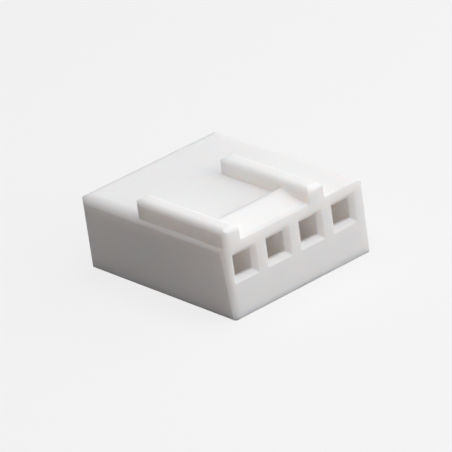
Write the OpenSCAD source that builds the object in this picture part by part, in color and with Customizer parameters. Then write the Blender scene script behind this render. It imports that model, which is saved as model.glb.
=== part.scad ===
// Housing of a wire to board connector: one moulded piece with a row of four
// crimp terminal chambers, two polarising ribs and a friction ramp.
// X runs along the row, -Y is the mating direction and Z is up.
// The origin is the middle of the underside.

/* [Body] */
// Width of the body along the row, at its top
body_w = 10.75; // [10.4:0.05:11.2]
// Length of the body from the mating face to the wire end
body_l = 12.7; // [12:0.1:13.5]
// Height of the body without its ribs
body_h = 4.7; // [4.6:0.02:5]
// How far each side leans in from the top to the underside
side_draft = 0.14; // [0:0.01:0.2]
// Rounding of the two long top edges
side_round = 0.6; // [0.1:0.05:0.75]
// Rounding of the top edge at the wire end
wire_end_round = 0.6; // [0.1:0.05:0.75]
// Rounding of the top edge at the mating face
mating_round = 0.05; // [0.03:0.01:0.2]
// Rounding of the two upright edges beside the first rib
left_upright_round = 0.6; // [0.1:0.05:0.7]
// Rounding of the other two upright edges
right_upright_round = 0.35; // [0.1:0.05:0.7]
// Rounding of the underside's edges
base_round = 0.1; // [0.04:0.02:0.3]

/* [Sockets] */
// Distance between neighbouring sockets
pitch = 2.54; // [2.5:0.01:2.56]
// How far the row is set towards +X from the middle of the body
row_shift = -0.16; // [-0.16:0.02:0.16]
// Height of the pin entries' centres above the underside
entry_z = 3.14; // [3:0.02:3.2]
// Width and height of the lead-in at the mating face
mouth = 1.86; // [1.6:0.02:1.96]
// Width and height of the pin entry behind the lead-in
entry = 1.3; // [1.1:0.02:1.5]
// Thickness of the front wall that the pins pass through
front_wall = 0.5; // [0.45:0.05:1.2]
// Width of a terminal chamber
chamber_w = 1.4; // [1.32:0.02:1.94]
// Height of a terminal chamber
chamber_h = 2.9; // [2.4:0.05:3]
// Height of the chambers' floor above the underside
chamber_z = 0.95; // [0.85:0.05:1]
// Depth of the lead-in at the wire end
wire_lead = 0.15; // [0.1:0.05:0.25]

/* [Lock windows] */
// Width of a lock window
window_w = 1.2; // [0.8:0.1:1.5]
// Length of a lock window
window_l = 2.2; // [1.5:0.1:3]
// Distance from the mating face to the near edge of the windows
window_y = 4.2; // [3:0.1:5]

/* [Ribs] */
// Width of a polarising rib
rib_w = 1.16; // [0.9:0.02:1.3]
// Height of the ribs above the body
rib_h = 0.94; // [0.7:0.02:1.1]
// Length of the ribs from the mating face
rib_l = 7.65; // [6:0.05:9]
// Gap between the body's left side and the first rib
rib_inset = 0.13; // [0.05:0.01:0.4]
// Clear distance between the two ribs
rib_gap = 5.28; // [5:0.01:5.6]
// Rounding of the ribs' long top edges and back ends
rib_round = 0.35; // [0.1:0.05:0.4]
// Rounding of the ribs' top edges at the mating face
rib_nose = 0.35; // [0.1:0.05:0.5]

/* [Friction ramp] */
// Height of the ramp's back edge above the body
ramp_h = 0.45; // [0.3:0.05:0.6]
// Distance from the mating face to the ramp's back edge
ramp_back = 2.35; // [2:0.05:3.5]
// Distance from the mating face to the foot of the ramp's slope
ramp_foot = 0.4; // [0.2:0.05:0.8]

/* [Hidden] */
$fn = 96;

sockets = 4;
// Overlap that makes cuts run clear of a face and joined shapes share volume
over = 0.5;
mating_y = -body_l / 2;
wire_y = body_l / 2;
left_x = -body_w / 2;
rib_x = [left_x + rib_inset, left_x + rib_inset + rib_w + rib_gap];

// The middle of each socket along the row
function socket_x(i) = row_shift + (i - (sockets - 1) / 2) * pitch;

// Places a flat outline drawn in X and Z, and gives it a length from y onward
module along_y(y, length) {
    translate([0, y + length, 0])
        rotate([90, 0, 0])
            linear_extrude(length)
                children();
}

// Places a flat outline drawn in Y and Z, and gives it a length from x onward
module along_x(x, length) {
    translate([x, 0, 0])
        rotate([90, 0, 90])
            linear_extrude(length)
                children();
}

// A rectangle from (x0, y0) to (x1, y1) with a radius for each corner:
// r = [low left, low right, top right, top left]
module soft_rectangle(x0, y0, x1, y1, r) {
    corners = [[x0, y0], [x1, y0], [x1, y1], [x0, y1]];
    turns = [0, 90, 180, 270];
    difference() {
        polygon(corners);
        for (i = [0:3])
            translate(corners[i])
                rotate(turns[i])
                    corner_cut(r[i]);
    }
}

// What a rounding of radius r takes off a low left corner at the origin
module corner_cut(r) {
    difference() {
        translate([-over, -over])
            square(r + over);
        translate([r, r])
            circle(r);
    }
}

// The body seen from above, with its four upright edges rounded
module plan_outline() {
    left = left_upright_round;
    right = right_upright_round;
    soft_rectangle(left_x, mating_y, -left_x, wire_y, [left, right, right, left]);
}

// The body seen from the mating face: drafted sides and rounded long edges
module front_outline() {
    low = body_w / 2 - side_draft;
    flat = low - base_round;
    intersection() {
        soft_rectangle(left_x, 0, -left_x, body_h, [0, 0, side_round, side_round]);
        union() {
            polygon([[-low, base_round], [low, base_round],
                     [-left_x, body_h], [left_x, body_h]]);
            translate([-flat, 0])
                square([2 * flat, base_round + over]);
            for (side = [-1, 1])
                translate([side * flat, base_round])
                    circle(base_round);
        }
    }
}

// The body's block, rounded by the outlines of its three views
module body_block() {
    intersection() {
        along_y(mating_y, body_l)
            front_outline();
        along_x(left_x, body_w)
            soft_rectangle(mating_y, 0, wire_y, body_h,
                           [base_round, base_round, wire_end_round, mating_round]);
        linear_extrude(body_h)
            plan_outline();
    }
}

// One polarising rib whose left side is at x, flush with the mating face
module rib(x) {
    root = body_h - side_round;
    top = body_h + rib_h;
    back = mating_y + rib_l;
    intersection() {
        along_y(mating_y, rib_l)
            soft_rectangle(x, root, x + rib_w, top, [0, 0, rib_round, rib_round]);
        along_x(x, rib_w)
            soft_rectangle(mating_y, root, back, top, [0, 0, rib_round, rib_nose]);
        linear_extrude(top)
            soft_rectangle(x, mating_y, x + rib_w, back, [0, 0, rib_round, rib_round]);
        linear_extrude(top)
            plan_outline();
    }
}

// The wedge between the ribs that grips the header's locking wall
module friction_ramp() {
    root = body_h - over;
    back = mating_y + ramp_back;
    along_x(rib_x[0] + rib_w - rib_round, rib_gap + 2 * rib_round)
        polygon([[mating_y + ramp_foot, root], [mating_y + ramp_foot, body_h],
                 [back, body_h + ramp_h], [back, root]]);
}

// A square funnel along Y, size[0] by size[1] where it meets the face at y, that
// narrows at 45 degrees over depth; the material lies on the +Y side when side is 1
module lead_in(y, z, size, depth, side) {
    outer_y = y - side * over;
    inner_y = y + side * depth;
    outer = [size[0] / 2 + over, size[1] / 2 + over];
    inner = [size[0] / 2 - depth, size[1] / 2 - depth];
    intersection() {
        translate([0, 0, z - outer[1]])
            linear_extrude(2 * outer[1])
                polygon([[-outer[0], outer_y], [outer[0], outer_y],
                         [inner[0], inner_y], [-inner[0], inner_y]]);
        along_x(-outer[0], 2 * outer[0])
            polygon([[outer_y, z - outer[1]], [outer_y, z + outer[1]],
                     [inner_y, z + inner[1]], [inner_y, z - inner[1]]]);
    }
}

// One socket: lead-in, pin entry, terminal chamber, wire-end lead-in and lock window
module socket() {
    chamber_mouth = [chamber_w + 2 * wire_lead, chamber_h + 2 * wire_lead];
    lead_in(mating_y, entry_z, [mouth, mouth], (mouth - entry) / 2, 1);
    translate([-entry / 2, mating_y, entry_z - entry / 2])
        cube([entry, front_wall + over, entry]);
    translate([-chamber_w / 2, mating_y + front_wall, chamber_z])
        cube([chamber_w, body_l, chamber_h]);
    lead_in(wire_y, chamber_z + chamber_h / 2, chamber_mouth, wire_lead, -1);
    translate([-window_w / 2, mating_y + window_y, -over])
        cube([window_w, window_l, chamber_z + 2 * over]);
}

// The housing: one moulded piece
module housing() {
    color("white")
        difference() {
            union() {
                body_block();
                for (x = rib_x)
                    rib(x);
                friction_ramp();
            }
            for (i = [0:sockets - 1])
                translate([socket_x(i), 0, 0])
                    socket();
        }
}

housing();
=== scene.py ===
import bpy
import math
from mathutils import Matrix, Vector


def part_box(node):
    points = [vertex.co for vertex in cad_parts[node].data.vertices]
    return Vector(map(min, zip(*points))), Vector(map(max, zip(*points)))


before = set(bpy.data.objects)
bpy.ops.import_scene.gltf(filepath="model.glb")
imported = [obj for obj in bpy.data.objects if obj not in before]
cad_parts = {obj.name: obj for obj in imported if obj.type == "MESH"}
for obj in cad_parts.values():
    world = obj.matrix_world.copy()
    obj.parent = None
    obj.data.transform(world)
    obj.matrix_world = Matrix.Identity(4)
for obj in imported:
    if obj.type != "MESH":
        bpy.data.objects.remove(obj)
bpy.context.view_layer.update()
MM = 0.001
HOUSING = "housing"

# ---------------------------------------------------------------- camera
CAM_AZIMUTH = 38.465        # degrees from -Y towards -X
CAM_ELEVATION = 24.956      # degrees above the floor
CAM_ROLL = -8.232           # degrees
CAM_DISTANCE = 262.51 * MM
CAM_SENSOR = 36             # mm
CAM_LENS = 363.51           # mm
CAM_CLIP = (1 * MM, 10)     # nearest and farthest distance in metres
CAM_OFFSET = Vector((-0.121, -0.246, -0.565)) * MM   # target, from the middle of the housing


def housing_middle():
    low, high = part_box(HOUSING)
    return (low + high) / 2


def mesh_object(name, mesh):
    obj = bpy.data.objects.new(name, mesh)
    bpy.context.scene.collection.objects.link(obj)
    return obj


def add_camera():
    target = housing_middle() + CAM_OFFSET
    az, el = math.radians(CAM_AZIMUTH), math.radians(CAM_ELEVATION)
    look = Vector((math.sin(az) * math.cos(el), math.cos(az) * math.cos(el), -math.sin(el)))
    right = look.cross(Vector((0, 0, 1))).normalized()
    up = right.cross(look)
    turn = math.radians(CAM_ROLL)
    up_rolled = up * math.cos(turn) - right * math.sin(turn)
    right_rolled = look.cross(up_rolled)
    rotation = Matrix((right_rolled, up_rolled, -look)).transposed().to_4x4()
    data = bpy.data.cameras.new("camera")
    data.sensor_width = CAM_SENSOR
    data.lens = CAM_LENS
    data.clip_start, data.clip_end = CAM_CLIP
    cam = bpy.data.objects.new("camera", data)
    bpy.context.scene.collection.objects.link(cam)
    cam.matrix_world = Matrix.Translation(target - look * CAM_DISTANCE) @ rotation
    bpy.context.scene.camera = cam


# ---------------------------------------------------------------- node helpers
def new_material(name):
    mat = bpy.data.materials.new(name)
    mat.use_nodes = True
    return mat, mat.node_tree.nodes, mat.node_tree.links


def add(nodes, kind, **sockets):
    node = nodes.new(kind)
    for key, value in sockets.items():
        node.inputs[key.replace("_", " ")].default_value = value
    return node


def noise(nodes, links, coords, scale, detail):
    tex = add(nodes, "ShaderNodeTexNoise", Scale=scale, Detail=detail)
    links.new(coords, tex.inputs["Vector"])
    return tex.outputs["Fac"]


def ramp(nodes, links, value, source, result):
    """Maps value from the range source to the range result."""
    node = add(nodes, "ShaderNodeMapRange", From_Min=source[0], From_Max=source[1],
               To_Min=result[0], To_Max=result[1])
    links.new(value, node.inputs["Value"])
    return node.outputs["Result"]


def mix_shader(nodes, links, factor, first, second):
    """factor is a number or a socket; returns the mixed shader's socket."""
    node = nodes.new("ShaderNodeMixShader")
    if isinstance(factor, float):
        node.inputs["Fac"].default_value = factor
    else:
        links.new(factor, node.inputs["Fac"])
    links.new(first.outputs[0], node.inputs[1])
    links.new(second.outputs[0], node.inputs[2])
    return node


# ---------------------------------------------------------------- moulded nylon
NYLON = (0.99, 0.98, 0.97, 1)
NYLON_DULL = (0.99, 0.97, 0.96, 1)
NYLON_IOR = 1.5
NYLON_SPECULAR = 0.4
NYLON_ROUGHNESS = (0.46, 0.58)
SSS_REACH = 1.0 * MM
SSS_SPREAD = (1.0, 0.85, 0.75)
EDGE_SOFT = 0.05 * MM
EDGE_SAMPLES = 6
GRAIN_STRENGTH = 0.25
GRAIN_HEIGHT = 0.006 * MM

# Scale per metre and detail of each noise, and the part of its range that is used
CLOUDS, CLOUD_RANGE = (260, 3), (0.35, 0.7)
SPECKS, SPECK_RANGE = (2600, 2), (0.3, 0.7)
GRAIN = (9000, 2)


def nylon():
    mat, nodes, links = new_material("moulded_nylon")
    shader = nodes["Principled BSDF"]
    where = nodes.new("ShaderNodeTexCoord").outputs["Object"]
    cloudy = noise(nodes, links, where, *CLOUDS)
    specks = noise(nodes, links, where, *SPECKS)
    grain = noise(nodes, links, where, *GRAIN)

    tint = nodes.new("ShaderNodeMix")
    tint.data_type = "RGBA"
    tint.inputs["A"].default_value = NYLON
    tint.inputs["B"].default_value = NYLON_DULL
    links.new(ramp(nodes, links, cloudy, CLOUD_RANGE, (0, 1)), tint.inputs["Factor"])
    links.new(tint.outputs["Result"], shader.inputs["Base Color"])
    links.new(ramp(nodes, links, specks, SPECK_RANGE, NYLON_ROUGHNESS), shader.inputs["Roughness"])
    shader.inputs["IOR"].default_value = NYLON_IOR
    shader.inputs["Specular IOR Level"].default_value = NYLON_SPECULAR

    shader.subsurface_method = "RANDOM_WALK"
    shader.inputs["Subsurface Weight"].default_value = 1
    shader.inputs["Subsurface Scale"].default_value = SSS_REACH
    shader.inputs["Subsurface Radius"].default_value = SSS_SPREAD

    soft = add(nodes, "ShaderNodeBevel", Radius=EDGE_SOFT)
    soft.samples = EDGE_SAMPLES
    bump = add(nodes, "ShaderNodeBump", Strength=GRAIN_STRENGTH, Distance=GRAIN_HEIGHT)
    links.new(grain, bump.inputs["Height"])
    links.new(soft.outputs["Normal"], bump.inputs["Normal"])
    links.new(bump.outputs["Normal"], shader.inputs["Normal"])
    return mat


def dress_housing():
    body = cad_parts[HOUSING]
    body.data.materials.clear()
    body.data.materials.append(nylon())


# ---------------------------------------------------------------- floor and world
WHITE = (1, 1, 1, 1)
FLOOR_SIZE = 600 * MM
PAPER = (0.9, 0.9, 0.9, 1)           # what the camera sees of the floor, with its shadow
PAPER_GLOW = 0.93
PAPER_LIFT = 0.8                     # share of the glow in what the camera sees
FLOOR_BOUNCE = (0.42, 0.40, 0.39, 1)  # what the floor throws back on the housing
WORLD_FILL = 0.02
WORLD_TINT = (1.0, 0.90, 0.88, 1)


def light_path_mask(nodes, links):
    """One for rays that show the background, nought for rays that light the housing."""
    path = nodes.new("ShaderNodeLightPath")
    total = path.outputs["Is Camera Ray"]
    for name in ("Is Glossy Ray", "Is Transmission Ray"):
        join = nodes.new("ShaderNodeMath")
        join.operation = "MAXIMUM"
        links.new(total, join.inputs[0])
        links.new(path.outputs[name], join.inputs[1])
        total = join.outputs[0]
    return total


def add_floor():
    half = FLOOR_SIZE / 2
    corners = [(-half, -half, 0), (half, -half, 0), (half, half, 0), (-half, half, 0)]
    mesh = bpy.data.meshes.new("floor")
    mesh.from_pydata(corners, [], [(0, 1, 2, 3)])
    floor = mesh_object("floor", mesh)
    floor.location.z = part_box(HOUSING)[0].z
    mat, nodes, links = new_material("floor_paper")
    nodes.remove(nodes["Principled BSDF"])
    paper = add(nodes, "ShaderNodeBsdfDiffuse", Color=PAPER)
    bounce = add(nodes, "ShaderNodeBsdfDiffuse", Color=FLOOR_BOUNCE)
    glow = add(nodes, "ShaderNodeEmission", Color=WHITE, Strength=PAPER_GLOW)
    lift = mix_shader(nodes, links, PAPER_LIFT, paper, glow)
    seen = mix_shader(nodes, links, light_path_mask(nodes, links), bounce, lift)
    links.new(seen.outputs[0], nodes["Material Output"].inputs["Surface"])
    floor.data.materials.append(mat)


def add_world():
    world = bpy.data.worlds.new("studio")
    bpy.context.scene.world = world
    world.use_nodes = True
    nodes, links = world.node_tree.nodes, world.node_tree.links
    fill = nodes["Background"]
    fill.inputs["Color"].default_value = WORLD_TINT
    fill.inputs["Strength"].default_value = WORLD_FILL
    white = add(nodes, "ShaderNodeBackground", Color=WHITE, Strength=1)
    seen = mix_shader(nodes, links, light_path_mask(nodes, links), fill, white)
    links.new(seen.outputs[0], nodes["World Output"].inputs["Surface"])


# ---------------------------------------------------------------- lamps
# name, position in mm, size in mm, power in W, colour
LAMPS = [
    ("overhead", (0, 0, 160), 160, 0.178, (1, 1, 1)),
    ("front_right", (90, -130, 70), 120, 0.110, (1, 1, 1)),
    ("front", (0, -160, 60), 120, 0.050, (1, 1, 1)),
    ("right", (150, 0, 80), 120, 0.055, (1, 1, 1)),
    ("front_left", (-80, -120, 130), 120, 0.032, (1, 0.85, 0.82)),
]


def add_lamps():
    middle = housing_middle()
    for name, place, size, power, colour in LAMPS:
        data = bpy.data.lights.new(name, "AREA")
        data.shape = "SQUARE"
        data.size = size * MM
        data.energy = power
        data.color = colour
        lamp = bpy.data.objects.new(name, data)
        bpy.context.scene.collection.objects.link(lamp)
        at = Vector(place) * MM
        facing = (at - middle).to_track_quat("Z", "Y").to_matrix().to_4x4()
        lamp.matrix_world = Matrix.Translation(at) @ facing
        lamp.visible_camera = False


# ---------------------------------------------------------------- scene
# Light bounces many times between the pale walls of the sockets
DIFFUSE_BOUNCES = 16
MAX_BOUNCES = 24

dress_housing()
add_floor()
add_world()
add_lamps()
add_camera()
bpy.context.scene.view_settings.view_transform = "Standard"
bpy.context.scene.cycles.diffuse_bounces = DIFFUSE_BOUNCES
bpy.context.scene.cycles.max_bounces = MAX_BOUNCES

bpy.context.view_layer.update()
